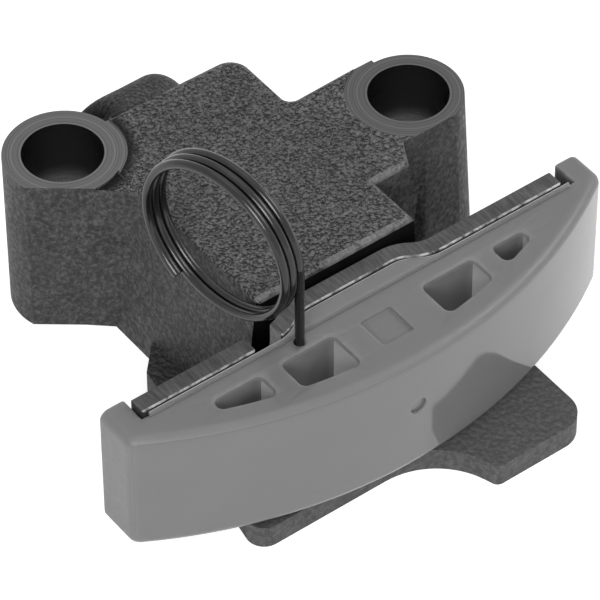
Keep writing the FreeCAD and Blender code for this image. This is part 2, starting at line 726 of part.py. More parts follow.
check_cage = new_body("check_cage")
CAGE_FRONT = SEAT_FRONT + " - cage_height"
cage_sketch = outline(sketch_on(check_cage, "CageSection", lift="axis_height"), [
    ("cage_radius - cage_wall", SEAT_FRONT),
    ("cage_flange_radius", SEAT_FRONT),
    ("cage_flange_radius", SEAT_FRONT + " - cage_wall"),
    ("cage_radius", SEAT_FRONT + " - cage_wall"),
    ("cage_radius", CAGE_FRONT),
    ("cage_hole_radius", CAGE_FRONT),
    ("cage_hole_radius", CAGE_FRONT + " + cage_wall"),
    ("cage_radius - cage_wall", CAGE_FRONT + " + cage_wall")])
turned(check_cage, "Revolution", "Cage", cage_sketch)
window_sketch = circle(
    sketch_on(check_cage, "WindowPlan", lift="axis_height"), "0", SEAT_FRONT + " - cage_height / 2", "cage_hole_radius")
windows = through_all(feature(check_cage, "Pocket", "Windows", window_sketch))
windows.Midplane = True


def coil_spring(label, radius, wire, start, height, turns):
    """Coil spring along Y on the plunger axis."""
    body = new_body(label)
    section = circle(sketch_on(body, "WireSection", lift="axis_height"), radius, start, wire)
    coil = body.newObject("PartDesign::AdditiveHelix", "Coil")
    coil.Profile = section
    coil.ReferenceAxis = (section, ["V_Axis"])
    coil.Mode = "height-turns-angle"
    tie(coil, Height=height, Turns=turns)
    return body


CHECK_START = CAGE_FRONT + " + cage_wall + check_wire_radius + check_clearance"
CHECK_REACH = "sqrt((ball_radius + check_wire_radius + check_clearance) ^ 2 - check_spring_radius ^ 2)"
check_spring = coil_spring(
    "check_spring", "check_spring_radius", "check_wire_radius", CHECK_START,
    BALL_Y + " - " + CHECK_REACH + " - (" + CHECK_START + ")", "check_turns")
SPRING_START = CAVITY_FRONT + " + disc_thickness + spring_wire_radius + spring_end_clearance"
plunger_spring = coil_spring(
    "plunger_spring", "plunger_cavity_radius - spring_side_clearance - spring_wire_radius", "spring_wire_radius",
    SPRING_START,
    SEAT_FRONT + " - cage_wall - spring_wire_radius - spring_end_clearance - (" + SPRING_START + ")",
    "spring_turns")

# Vent disc: moulded disc in the nose of the plunger, with a ring groove that leads air to the vent hole.

vent_disc = new_body("vent_disc")
disc_sketch = outline(sketch_on(vent_disc, "DiscSection", lift="axis_height"), [
    ("0", CAVITY_FRONT),
    ("disc_groove_radius - disc_groove_width / 2", CAVITY_FRONT),
    ("disc_groove_radius - disc_groove_width / 2", CAVITY_FRONT + " + disc_groove_depth"),
    ("disc_groove_radius + disc_groove_width / 2", CAVITY_FRONT + " + disc_groove_depth"),
    ("disc_groove_radius + disc_groove_width / 2", CAVITY_FRONT),
    ("plunger_cavity_radius - disc_clearance", CAVITY_FRONT),
    ("plunger_cavity_radius - disc_clearance", CAVITY_FRONT + " + disc_thickness"),
    ("0", CAVITY_FRONT + " + disc_thickness")])
turned(vent_disc, "Revolution", "Disc", disc_sketch)

# Lock pin: one length of spring wire with a straight tail and a coiled finger ring.

lock_pin = new_body("lock_pin")
pin_sketch = circle(sketch_on(lock_pin, "WireSection"), "coil_radius", "0", "pin_wire_radius")
feature(lock_pin, "Pad", "Tail", pin_sketch, Length="coil_height - pin_bottom").Reversed = True
ring_coil = lock_pin.newObject("PartDesign::AdditiveHelix", "FingerRing")
ring_coil.Profile = pin_sketch
ring_coil.ReferenceAxis = (pin_sketch, ["V_Axis"])
ring_coil.Mode = "pitch-turns-angle"
ring_coil.Reversed = True
tie(ring_coil, Pitch="coil_pitch", Turns="coil_turns")
lock_pin.Placement.Rotation = FreeCAD.Rotation(Z_AXIS, size("coil_heading"))
tie(lock_pin, Placement__Rotation__Angle="coil_heading")
tie(lock_pin, Placement__Base__x="pin_x - coil_radius * cos(coil_heading)",
    Placement__Base__y="pin_y - coil_radius * sin(coil_heading)", Placement__Base__z="coil_height")

doc.recompute()

NODES = (
    housing, shoe_plate, shoe, lock_pin, plunger, plunger_spring,
    check_seat, check_ball, check_spring, check_cage, vent_disc, stop_ring)

for item in doc.Objects:
    for word in item.State:
        if word in ("Invalid", "Error"):
            raise RuntimeError(item.Label + " failed: " + item.getStatusString())
for node in NODES:
    if node.Shape.isNull() or not node.Shape.isValid() or len(node.Shape.Solids) != 1:
        raise RuntimeError(node.Label + " is not one valid solid")

os.makedirs("parts", exist_ok=True)
for node in NODES:
    node.Shape.exportStep("parts/" + node.Label + ".step")
    box = node.Shape.BoundBox
    print("%-15s %9.1f mm3  x %6.2f..%6.2f  y %6.2f..%6.2f  z %6.2f..%6.2f" % (
        node.Label, node.Shape.Volume, box.XMin, box.XMax, box.YMin, box.YMax, box.ZMin, box.ZMax))
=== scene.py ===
import logging
import math
from dataclasses import dataclass, field
from enum import Enum
from functools import cache
from typing import Any, Callable, Iterable, Optional, Sequence

import bmesh
import bpy
from mathutils import Matrix, Vector, noise


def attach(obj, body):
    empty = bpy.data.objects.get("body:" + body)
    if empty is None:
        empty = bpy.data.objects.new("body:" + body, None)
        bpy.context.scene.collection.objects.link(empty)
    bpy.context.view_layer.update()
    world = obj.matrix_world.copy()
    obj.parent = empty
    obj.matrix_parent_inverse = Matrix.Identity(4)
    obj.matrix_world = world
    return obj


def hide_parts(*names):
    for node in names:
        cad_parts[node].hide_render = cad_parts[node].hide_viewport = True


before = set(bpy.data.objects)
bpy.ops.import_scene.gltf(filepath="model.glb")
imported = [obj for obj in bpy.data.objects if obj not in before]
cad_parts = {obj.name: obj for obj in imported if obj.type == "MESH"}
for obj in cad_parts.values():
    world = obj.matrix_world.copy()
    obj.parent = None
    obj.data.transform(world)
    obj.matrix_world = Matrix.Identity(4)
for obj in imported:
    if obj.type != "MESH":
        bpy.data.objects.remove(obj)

MM = 0.001
LOG = logging.getLogger("tensioner")

# Face layers: broken edges for the wear, and strengths that weight the normals.
EDGE_MASK = "edge"
FACE_STRENGTH = "__mod_weightednormals_faceweight"
STRONG = 16384

# Cleaning of a solid's mesh before its edges are broken.
MERGE = 0.002 * MM
COPLANAR = math.radians(0.4)

# Least parts of a unit normal along an axis for faces that are steep or flat.
STEEP = 0.7
FLAT = 0.95

# Ramp stops that turn a noise into a mask.
SPREAD_STOPS = ((0.34, 0.0), (0.66, 1.0))
PEAK_STOPS = ((0.52, 0.0), (0.72, 1.0))
WEAR_STOPS = ((0.38, 0.0), (0.58, 1.0))
STAIN_STOPS = ((0.35, 0.0), (0.7, 1.0))

# Painted light and shade on cast grain: the noise's rise over a short step, raised and shaped, makes one
# side of each grain lighter and the other darker, as if light came from one side.
PAINTED_RELIEF_STEP = (0.1 * MM, 0.08 * MM, -0.05 * MM)
PAINTED_RELIEF_GAIN = 4.6
PAINTED_RELIEF_POWER = 1.9

Mesh = bmesh.types.BMesh
Corner = bmesh.types.BMVert
Edge = bmesh.types.BMEdge
Face = bmesh.types.BMFace
Socket = bpy.types.NodeSocket
Value = float | tuple[float, ...] | Socket
Inputs = dict[str | int, Value]
Pair = tuple[float, float]
Triple = tuple[float, float, float]
FaceTest = Callable[[Vector, Vector], bool]


class Travel(Enum):
    """Bodies that the pieces ride on."""

    BODY = "body"
    CARRIAGE = "shoe_carriage"
    PIN = "pin"


class Slot(Enum):
    """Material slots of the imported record."""

    CASTING = "cast_iron"
    PLATE = "plate_steel"
    NYLON = "nylon"
    WIRE = "wire"
    GROUND = "ground_steel"
    DISC = "disc_plastic"


def grey(level: float) -> tuple[float, float, float, float]:
    """Neutral colour of a level."""
    return (level, level, level, 1.0)


def scaled(value: float, shares: Pair) -> Pair:
    """Two shares of one value."""
    return (value * shares[0], value * shares[1])


def feed(tree: bpy.types.NodeTree, node: bpy.types.Node, inputs: Inputs) -> None:
    """Sets constants or links sockets to the inputs of a node, by name or number."""
    for key, value in inputs.items():
        if isinstance(value, bpy.types.NodeSocket):
            tree.links.new(value, node.inputs[key])
        else:
            node.inputs[key].default_value = value


@dataclass
class Graph:
    """Adds and joins nodes in the shader tree of a material, a world or a group."""

    tree: bpy.types.NodeTree

    def add(self, kind: str, inputs: Optional[Inputs] = None, **settings: Any) -> bpy.types.Node:
        """Adds a node.

        Args:
            kind: Node type without the ShaderNode prefix.
            inputs: Constants or sockets for the node's inputs, by name or number.
            settings: Properties of the node itself.

        Returns:
            The new node.
        """
        node = self.tree.nodes.new("ShaderNode" + kind)
        for name, setting in settings.items():
            setattr(node, name, setting)
        feed(self.tree, node, inputs or {})
        return node

    def effect(self, group: bpy.types.NodeTree, **inputs: Value) -> bpy.types.bpy_prop_collection:
        """Places an effect's group, fed by the names of its inputs, and returns its outputs."""
        return self.add("Group", dict(inputs), node_tree=group).outputs

    def math(self, operation: str, first: Value, second: Value = 0.0, clamp: bool = False) -> Socket:
        """Adds a Math node, clamped to 0..1 on request, and returns its result."""
        return self.add("Math", {0: first, 1: second}, operation=operation, use_clamp=clamp).outputs[0]

    def weigh(self, *parts: tuple[Socket, Value]) -> Socket:
        """Adds up values, each times its weight."""
        total, *others = [self.math("MULTIPLY", value, weight) for value, weight in parts]
        for term in others:
            total = self.math("ADD", total, term)
        return total

    def noise(self, place: Socket, scale: Value, detail: float = 4.0, rough: float = 0.55,
              distortion: float = 0.0) -> Socket:
        """Adds a Noise Texture with a scale in repeats per metre, and returns its value."""
        return self.add("TexNoise", {
            "Vector": place, "Scale": scale, "Detail": detail, "Roughness": rough,
            "Distortion": distortion}).outputs[0]

    def ramp(self, value: Socket, stops: Sequence[Pair]) -> Socket:
        """Maps a value through two stops, given as position and grey level."""
        node = self.add("ValToRGB", {0: value})
        for element, (position, level) in zip(node.color_ramp.elements, stops):
            element.position = position
            element.color = grey(level)
        return node.outputs[0]

    def remap(self, value: Socket, source: Pair = (0.0, 1.0), target: Pair = (0.0, 1.0),
              soft: bool = False) -> Socket:
        """Maps a source range onto a target range, clamped, with soft ends on request."""
        return self.add(
            "MapRange", {0: value, 1: source[0], 2: source[1], 3: target[0], 4: target[1]},
            interpolation_type="SMOOTHSTEP" if soft else "LINEAR").outputs[0]

    def blend(self, mask: Value, low: Value, high: Value) -> Socket:
        """Mixes two colours by a mask, 0 for the first and 1 for the second."""
        return self.add("Mix", {0: mask, 6: low, 7: high}, data_type="RGBA").outputs[2]

    def place(self) -> Socket:
        """Object coordinates."""
        return self.add("TexCoord").outputs["Object"]

    def height(self, place: Socket) -> Socket:
        """Height part of coordinates."""
        return self.add("SeparateXYZ", {0: place}).outputs["Z"]

    def reach(self, place: Socket) -> Socket:
        """Length of coordinates."""
        return self.add("VectorMath", {0: place}, operation="LENGTH").outputs["Value"]

    def stretched(self, place: Socket, scale: Triple, centre: Triple = (0.0, 0.0, 0.0)) -> Socket:
        """Scales coordinates about a centre, which becomes the origin."""
        shift = tuple(-part * factor for part, factor in zip(centre, scale))
        return self.add("Mapping", {"Vector": place, "Scale": scale, "Location": shift}).outputs[0]

    def bump(self, height: Socket, depth: float) -> Socket:
        """Turns a height into a normal, with the depth in metres for a height of 1."""
        return self.add("Bump", {"Height": height, "Distance": depth, "Strength": 1.0}).outputs[0]


class Effects:
    """Shader node groups that several finishes use, each built once."""

    @staticmethod
    def start(name: str, inputs: dict[str, Optional[float]],
              outputs: Sequence[str]) -> tuple[Graph, Any, bpy.types.Node]:
        """Starts a group.

        Args:
            name: Name of the group.
            inputs: Default of each input, or None for coordinates.
            outputs: Names of the outputs, which are all values.

        Returns:
            The group's graph, the sockets of its inputs and its output node.
        """
        tree = bpy.data.node_groups.new(name, "ShaderNodeTree")
        for label, default in inputs.items():
            kind = "NodeSocketVector" if default is None else "NodeSocketFloat"
            made = tree.interface.new_socket(label, in_out="INPUT", socket_type=kind)
            if default is not None:
                made.default_value = default
        for label in outputs:
            tree.interface.new_socket(label, in_out="OUTPUT", socket_type="NodeSocketFloat")
        return Graph(tree), tree.nodes.new("NodeGroupInput").outputs, tree.nodes.new("NodeGroupOutput")

    @staticmethod
    @cache
    def grain() -> bpy.types.NodeTree:
        """Sand grain of a casting: fine grains over waves, as height, tint, a mask of the grains' tops,
        and painted light and shade from one side.
        """
        graph, given, end = Effects.start(
            "sand_grain", {"Place": None, "Grain": 2600.0, "Waves": 260.0, "Depth": 1.2},
            ("Height", "Tint", "Peaks", "PaintedRelief"))
        place, scale = given["Place"], given["Grain"]
        fine = graph.noise(place, scale, detail=2.0, rough=0.5)
        waves = graph.noise(place, given["Waves"], detail=3.0, rough=0.5)
        cells = graph.add(
            "TexVoronoi", {"Vector": place, "Scale": scale}, feature="SMOOTH_F1").outputs[0]
        # Painted light and shade: each grain is lighter where the noise rises along a fixed step, as if
        # light came from that side.
        ahead = graph.add("VectorMath", {0: place, 1: PAINTED_RELIEF_STEP}, operation="ADD").outputs[0]
        rise = graph.math("SUBTRACT", graph.noise(ahead, scale, detail=2.0, rough=0.5), fine)
        painted_shading = graph.math("ADD", graph.math("MULTIPLY", rise, PAINTED_RELIEF_GAIN), 0.5, clamp=True)
        feed(graph.tree, end, {
            "Height": graph.weigh((fine, 0.6), (cells, 0.5), (waves, given["Depth"])),
            "Tint": graph.ramp(graph.weigh((fine, 0.6), (waves, 0.4)), SPREAD_STOPS),
            "Peaks": graph.ramp(fine, PEAK_STOPS), "PaintedRelief": graph.math("POWER", painted_shading, PAINTED_RELIEF_POWER)})
        return graph.tree

    @staticmethod
    @cache
    def wear() -> bpy.types.NodeTree:
        """Rubbed edges: the edge attribute broken up by noise."""
        graph, given, end = Effects.start(
            "edge_wear", {"Place": None, "Patches": 500.0, "Amount": 0.8}, ("Worn",))
        edge = graph.add("Attribute", attribute_name=EDGE_MASK, attribute_type="GEOMETRY").outputs["Fac"]
        patches = graph.ramp(graph.noise(given["Place"], given["Patches"], rough=0.6), WEAR_STOPS)
        rubbed = graph.math("MULTIPLY", edge, patches)
        feed(graph.tree, end, {"Worn": graph.math("MULTIPLY", rubbed, given["Amount"], clamp=True)})
        return graph.tree

    @staticmethod
    @cache
    def turning() -> bpy.types.NodeTree:
        """Tool marks in rings about an upright axis."""
        graph, given, end = Effects.start(
            "turned_marks", {"Place": None, "Pitch": 6000.0}, ("Marks", "Blotch"))
        flat = graph.add("VectorMath", {0: given["Place"], 1: (1.0, 1.0, 0.0)}, operation="MULTIPLY")
        line = graph.add("CombineXYZ", {0: graph.reach(flat.outputs[0])}).outputs[0]
        feed(graph.tree, end, {
            "Marks": graph.noise(line, given["Pitch"], detail=3.0, rough=0.7),
            "Blotch": graph.noise(given["Place"], 700.0, detail=3.0, rough=0.5)})
        return graph.tree


@dataclass(frozen=True)
class Finish:
    """Common part of every finish."""

    name: str
    slot: Slot

    def make(self) -> bpy.types.Material:
        """Builds the material.

        Returns:
            The material.
        """
        material = bpy.data.materials.new(self.name)
        material.use_nodes = True
        graph = Graph(material.node_tree)
        feed(graph.tree, graph.tree.nodes["Principled BSDF"], self.inputs(graph))
        return material

    def inputs(self, graph: Graph) -> Inputs:
        """Inputs of the Principled shader.

        Args:
            graph: Graph of the material.

        Returns:
            Constants or sockets by input name.
        """
        raise NotImplementedError


@dataclass(frozen=True)
class WornFinish(Finish):
    """Finish with rubbed edges."""

    wear: float = 0.9
    patches: float = 900.0

    def rub(self, graph: Graph, place: Socket, colour: Socket, level: float) -> Socket:
        """Lays a grey level over the rubbed edges of a colour."""
        worn = graph.effect(Effects.wear(), Place=place, Patches=self.patches, Amount=self.wear)["Worn"]
        return graph.blend(worn, colour, grey(level))


@dataclass(frozen=True)
class CastSkin(WornFinish):
    """Dark iron as cast: grains with painted light and shade and painted glints on their tops, stains, a
    painted shade band about a boss, and rubbed edges.
    """

    dark: float = 0.028
    light: float = 0.135
    # Painted glints: grey level and share laid on the grains' tops as highlights.
    painted_glint_level: float = 0.14
    painted_glint_share: float = 0.25
    # Share of painted light and shade in the grain's tone.
    painted_relief: float = 0.7
    grain: float = 1900.0
    waves: float = 260.0
    depth: float = 0.16 * MM
    stains: float = 0.3
    stain_scale: float = 90.0
    stain_level: float = 0.8
    worn: float = 0.26
    wear: float = 0.6
    patches: float = 420.0
    metallic: float = 0.15
    gloss: float = 0.2
    roughness: Pair = (0.62, 0.4)
    # Painted shade: a dark band in plan about an axis, between the two distances of root, where a boss
    # ring's shadow falls.
    painted_shade_centre: Triple = (0.0, 0.0, 0.0)
    root: Pair = (0.0, 0.0)
    painted_shade_strength: float = 0.97
    painted_shade_level: float = 0.1

    def inputs(self, graph: Graph) -> Inputs:
        place = graph.place()
        grain = graph.effect(Effects.grain(), Place=place, Grain=self.grain, Waves=self.waves)
        # Tone: painted light and shade of the grain, mixed with the grain's own tint.
        tone = graph.weigh((grain["PaintedRelief"], self.painted_relief), (grain["Tint"], 1.0 - self.painted_relief))
        colour = graph.blend(tone, grey(self.dark), grey(self.light))
        # Painted glints: the grains' tops are painted brighter, as highlights.
        painted_glint = graph.math("MULTIPLY", grain["Peaks"], self.painted_glint_share)
        colour = graph.blend(painted_glint, colour, grey(self.painted_glint_level))
        stains = graph.ramp(graph.noise(place, self.stain_scale, rough=0.6), STAIN_STOPS)
        stained = graph.math("MULTIPLY", stains, self.stains)
        colour = graph.blend(stained, colour, grey(self.dark * self.stain_level))
        # Painted shade about the boss ring, where its shadow falls on the lower cast around it.
        if self.root[1] > 0.0:
            reach = graph.reach(graph.stretched(place, (1.0, 1.0, 0.0), self.painted_shade_centre))
            shade = graph.remap(reach, self.root, (self.painted_shade_strength, 0.0), soft=True)
            colour = graph.blend(shade, colour, grey(self.dark * self.painted_shade_level))
        return {
            "Base Color": self.rub(graph, place, colour, self.worn), "Metallic": self.metallic,
            "Roughness": graph.remap(grain["Peaks"], target=self.roughness),
            "Specular IOR Level": self.gloss, "Normal": graph.bump(grain["Height"], self.depth)}


@dataclass(frozen=True)
class TurnedFace(WornFinish):
    """Spot face cut about a bolt axis, with a bright rim: rubbed wear and a painted highlight."""

    centre: Triple = (0.0, 0.0, 0.0)
    level: float = 0.12
    tones: Pair = (0.45, 1.6)
    # Grey level of the rubbed rim: partly wear, partly a painted highlight.
    rim: float = 0.5
    wear: float = 0.9
    patches: float = 600.0
    metallic: float = 0.7
    roughness: float = 0.36
    polish: Pair = (0.7, 1.4)
    pitch: float = 4200.0
    depth: float = 0.03 * MM

    def inputs(self, graph: Graph) -> Inputs:
        place = graph.stretched(graph.place(), (1.0, 1.0, 1.0), self.centre)
        marks = graph.effect(Effects.turning(), Place=place, Pitch=self.pitch)
        low, high = scaled(self.level, self.tones)
        cut = graph.blend(graph.ramp(marks["Marks"], SPREAD_STOPS), grey(low), grey(high))
        return {
            "Base Color": self.rub(graph, place, cut, self.rim), "Metallic": self.metallic,
            "Roughness": graph.remap(marks["Blotch"], target=scaled(self.roughness, self.polish)),
            "Normal": graph.bump(marks["Marks"], self.depth)}


@dataclass(frozen=True)
class LinedSteel(WornFinish):
    """Steel with marks that run along one axis: sheared, drawn, ground or milled."""

    level: float = 0.4
    contrast: float = 0.5
    roughness: float = 0.34
    polish: Pair = (0.75, 1.35)
    metallic: float = 0.92
    gloss: float = 0.5
    stretch: Triple = (1.0, 0.08, 1.0)
    lines: float = 3800.0
    lined: float = 0.65
    clouds: float = 350.0
    depth: float = 0.02 * MM
    edge: float = 0.7

    def inputs(self, graph: Graph) -> Inputs:
        place = graph.place()
        lines = graph.noise(graph.stretched(place, self.stretch), self.lines, detail=3.0, rough=0.65)
        cloud = graph.noise(place, self.clouds, detail=3.0, rough=0.55)
        tone = graph.ramp(graph.weigh((lines, self.lined), (cloud, 1.0 - self.lined)), SPREAD_STOPS)
        low, high = scaled(self.level, (1.0 - self.contrast, 1.0 + self.contrast))
        base = graph.blend(tone, grey(low), grey(high))
        return {
            "Base Color": self.rub(graph, place, base, self.edge), "Metallic": self.metallic,
            "Roughness": graph.remap(cloud, target=scaled(self.roughness, self.polish)),
            "Specular IOR Level": self.gloss, "Normal": graph.bump(lines, self.depth)}


@dataclass(frozen=True)
class ReamedBore(Finish):
    """Dark reamed bore, with a painted reflection that brightens it towards its open lower end."""

    dark: float = 0.035
    painted_reflection: float = 0.5
    painted_reflection_range: Pair = (14.5 * MM, 10.5 * MM)
    painted_reflection_least: float = 0.3
    metallic: float = 0.8
    roughness: float = 0.24
    polish: Pair = (0.8, 1.3)
    stretch: Triple = (0.05, 0.05, 1.0)
    rings: float = 2400.0
    depth: float = 0.008 * MM

    def inputs(self, graph: Graph) -> Inputs:
        place = graph.place()
        # Painted reflection: brighter down the bore, broken up by the rings.
        depth = graph.remap(graph.height(place), self.painted_reflection_range, soft=True)
        rings = graph.noise(graph.stretched(place, self.stretch), self.rings, detail=2.0, rough=0.6)
        share = graph.math("MULTIPLY", depth, graph.math("ADD", rings, self.painted_reflection_least), clamp=True)
        return {
            "Base Color": graph.blend(share, grey(self.dark), grey(self.painted_reflection)), "Metallic": self.metallic,
            "Roughness": graph.remap(rings, target=scaled(self.roughness, self.polish)),
            "Normal": graph.bump(rings, self.depth)}


@dataclass(frozen=True)
class PocketNylon(Finish):
    """Milky nylon of the blind pockets, with painted light that brightens them towards their floors, and
    a faint painted glow.
    """

    level: float = 0.26
    painted_floor_light: float = 1.0
    painted_floor_light_range: Pair = (18.0 * MM, 9.0 * MM)
    flow: float = 300.0
    flow_share: float = 0.4
    flow_least: float = 0.8
    roughness: float = 0.5
    painted_glow: float = 0.05
    milky: float = 0.9
    reach: float = 4.0 * MM

    def inputs(self, graph: Graph) -> Inputs:
        place = graph.place()
        # Painted light: the pockets are painted brighter towards their floors.
        depth = graph.remap(graph.height(place), self.painted_floor_light_range)
        flow = graph.noise(place, self.flow, detail=3.0, rough=0.5)
        flow = graph.math("MULTIPLY", flow, self.flow_share)
        share = graph.math("MULTIPLY", depth, graph.math("ADD", flow, self.flow_least), clamp=True)
        # Painted glow: a faint white emission on the pocket faces.
        return {
            "Base Color": graph.blend(share, grey(self.level), grey(self.painted_floor_light)),
            "Roughness": self.roughness, "Emission Color": grey(1.0), "Emission Strength": self.painted_glow,
            "Subsurface Weight": self.milky, "Subsurface Radius": (1.0, 1.0, 1.0),
            "Subsurface Scale": self.reach}


@dataclass(frozen=True)
class Moulding(WornFinish):
    """Moulded plastic, a little milky, with faint flow marks and rubbed edges."""

    level: float = 0.3
    tones: Pair = (0.93, 1.07)
    rubbed: float = 1.35
    wear: float = 0.35
    patches: float = 700.0
    roughness: float = 0.3
    polish: Pair = (0.85, 1.25)
    milky: float = 0.25
    reach: float = 2.2 * MM
    grain: float = 1800.0
    waves: float = 120.0
    wave_depth: float = 2.5
    flow: float = 160.0
    flow_stretch: Triple = (0.35, 1.0, 1.0)
    depth: float = 0.01 * MM
    scratches: float = 0.0
    scratch_lines: float = 5200.0
    scratch_stretch: Triple = (0.03, 1.0, 1.0)

    def inputs(self, graph: Graph) -> Inputs:
        place = graph.place()
        grain = graph.effect(Effects.grain(), Place=place, Grain=self.grain, Waves=self.waves,
                             Depth=self.wave_depth)
        flow = graph.noise(graph.stretched(place, self.flow_stretch), self.flow, detail=3.0, rough=0.5,
                           distortion=0.6)
        low, high = scaled(self.level, self.tones)
        base = graph.blend(flow, grey(low), grey(high))
        lines = graph.noise(graph.stretched(place, self.scratch_stretch), self.scratch_lines, detail=2.0,
                            rough=0.6)
        height = graph.math("ADD", graph.math("MULTIPLY", lines, self.scratches), grain["Height"])
        return {
            "Base Color": self.rub(graph, place, base, min(1.0, self.level * self.rubbed)),
            "Roughness": graph.remap(grain["Tint"], target=scaled(self.roughness, self.polish)),
            "Normal": graph.bump(height, self.depth), "Subsurface Weight": self.milky,
            "Subsurface Radius": (1.0, 1.0, 1.0), "Subsurface Scale": self.reach}


@cache
def material_of(finish: Finish) -> bpy.types.Material:
    """Material of a finish, made once."""
    return finish.make()


@dataclass
class Zone:
    """Faces of a piece that get a finish of their own."""

    finish: Finish
    test: FaceTest


def drop(radius: float, past: float) -> float:
    """How far a quarter round has dropped at a distance past its start."""
    return radius - math.sqrt(max(0.0, radius ** 2 - past ** 2))


def extruded(mesh: Mesh, faces: Iterable[Face],
             lift: float = 0.0) -> tuple[list[Corner], list[Face]]:
    """Extrudes faces upwards, and keeps the first ones as a floor.

    Args:
        mesh: The mesh.
        faces: Faces to extrude.
        lift: Height of the walls.

    Returns:
        The corners and faces of the far end.
    """
    made = bmesh.ops.extrude_face_region(mesh, geom=list(faces), use_keep_orig=True)["geom"]
    corners = [item for item in made if isinstance(item, Corner)]
    bmesh.ops.translate(mesh, verts=corners, vec=(0.0, 0.0, lift))
    return corners, [item for item in made if isinstance(item, Face)]


def rounded(mesh: Mesh, edges: Sequence[Edge], width: float, segments: int,
            clamp: bool = True) -> list[Face]:
    """Rounds edges.

    Args:
        mesh: The mesh.
        edges: Edges to round.
        width: Width of the round on each side.
        segments: Faces across the round.
        clamp: Whether the rounds stop where they would meet.

    Returns:
        The faces of the rounds.
    """
    return bmesh.ops.bevel(
        mesh, geom=edges, offset=width, offset_type="OFFSET", segments=segments, profile=0.5,
        affect="EDGES", clamp_overlap=clamp, material=-1)["faces"]


def split_large(mesh: Mesh) -> None:
    """Cuts faces of more than four corners into triangles."""
    bmesh.ops.triangulate(mesh, faces=[face for face in mesh.faces if len(face.verts) > 4])


def shade_smooth(mesh: Mesh, crease: float) -> None:
    """Shades all faces smooth up to the edges that turn by more than an angle in degrees."""
    for face in mesh.faces:
        face.smooth = True
    for edge in mesh.edges:
        edge.smooth = edge.calc_face_angle(0.0) < math.radians(crease)


def put_out(name: str, mesh: Mesh, finishes: Sequence[Finish], body: Travel,
            replaced: Iterable[str] = ()) -> bpy.types.Object:
    """Turns a finished bmesh into a piece that rides on a body.

    Args:
        name: Name of the piece.
        mesh: Its mesh, freed here.
        finishes: Finishes in the order of the material indices.
        body: Body that it rides on.
        replaced: Nodes that it stands for.

    Returns:
        The new object.
    """
    if mesh.faces.layers.float.get(EDGE_MASK) is None:
        mesh.faces.layers.float.new(EDGE_MASK)
    data = bpy.data.meshes.new(name)
    mesh.to_mesh(data)
    mesh.free()
    for finish in finishes:
        data.materials.append(material_of(finish))
    piece = bpy.data.objects.new(name, data)
    bpy.context.scene.collection.objects.link(piece)
    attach(piece, body.value)
    for node in replaced:
        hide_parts(node)
    triangles = sum(len(face.vertices) - 2 for face in data.polygons)
    LOG.info("%s rides on %s, %d triangles", name, body.value, triangles)
    return piece


@dataclass
class SolidSkin:
    """Dressed copy of one solid: merged, its sharp edges broken, and painted by zones."""

    node: str
    body: Travel
    finish: Finish
    edge_break: float
    zones: list[Zone] = field(default_factory=list)
    sharp: float = math.radians(28.0)
    crease: float = 32.0
    segments: int = 2
    wide: float = 2.5
    wide_segments: int = 4
    narrow: float = 0.9
    clamp: bool = True
    edge_test: Optional[Callable[[Edge], float]] = None
    rub_test: Optional[FaceTest] = None

    def build(self) -> bpy.types.Object:
        """Builds the piece and hides the solid."""
        mesh = bmesh.new()
        mesh.from_mesh(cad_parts[self.node].data)
        bmesh.ops.remove_doubles(mesh, verts=mesh.verts, dist=MERGE)
        bmesh.ops.dissolve_limit(
            mesh, angle_limit=COPLANAR, verts=mesh.verts, edges=mesh.edges, use_dissolve_boundaries=False)
        self.break_edges(mesh)
        split_large(mesh)
        self.paint(mesh)
        shade_smooth(mesh, self.crease)
        finishes = [self.finish] + [zone.finish for zone in self.zones]
        piece = put_out(self.node + "_skin", mesh, finishes, self.body, [self.node])
        weighted = piece.modifiers.new("weighted_normals", "WEIGHTED_NORMAL")
        weighted.keep_sharp = True
        weighted.use_face_influence = True
        return piece

    def break_edges(self, mesh: Mesh) -> None:
        """Breaks the sharp edges, the widest first, and marks the proud ones as rubbed."""
        rubbed = mesh.faces.layers.float.new(EDGE_MASK)
        strength = mesh.faces.layers.int.new(FACE_STRENGTH)
        for face in mesh.faces:
            face[strength] = STRONG
        groups: dict[tuple[float, bool], list[Edge]] = {}
        for edge in mesh.edges:
            if edge.is_manifold and edge.calc_face_angle(0.0) > self.sharp:
                width = self.edge_break * (self.edge_test(edge) if self.edge_test else 1.0)
                groups.setdefault((round(width, 7), edge.is_convex), []).append(edge)
        for width, proud in sorted(groups, reverse=True):
            edges = [edge for edge in groups[width, proud] if edge.is_valid]
            if width <= 0.0 or not edges:
                continue
            segments = self.segments + self.wide_segments * (width > self.edge_break * self.wide)
            clamp = self.clamp or width < self.edge_break * self.narrow
            for face in rounded(mesh, edges, width, segments, clamp):
                face[strength] = -STRONG
                middle = face.calc_center_median()
                if proud and (self.rub_test is None or self.rub_test(middle, face.normal)):
                    face[rubbed] = 1.0

    def paint(self, mesh: Mesh) -> None:
        """Gives each face the finish of the first zone that it lies in."""
        for face in mesh.faces:
            centre = face.calc_center_median()
            for index, zone in enumerate(self.zones, start=1):
                if zone.test(centre, face.normal):
                    face.material_index = index
                    break


